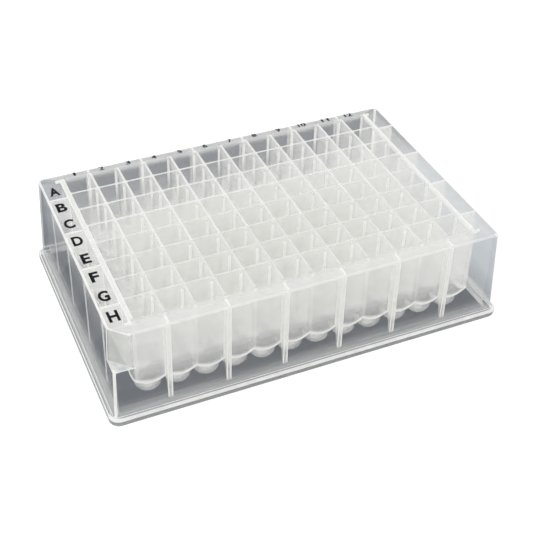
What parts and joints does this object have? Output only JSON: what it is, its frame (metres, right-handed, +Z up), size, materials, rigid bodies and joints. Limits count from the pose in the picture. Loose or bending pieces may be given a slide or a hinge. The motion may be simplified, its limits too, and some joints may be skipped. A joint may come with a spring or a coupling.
{
  "type": "deep-well microplate",
  "caption": "Deep-well plate: a grid of square wells with round cups below, hung from a deck inside a drafted skirt with a flange.",
  "frame": {"origin": "on the surface, below the centre of the footprint", "axes": "+X along the columns from the first to the last, +Y towards the first row, +Z up through the mouths of the wells"},
  "size_m": [0.1278, 0.0854, 0.0324],
  "materials": {
    "plate": "natural polypropylene, smooth, milky translucent",
    "print": "black coordinate print on the deck"
  },
  "bodies": {
    "root": {"plate": "plate"}
  },
  "joints": []
}
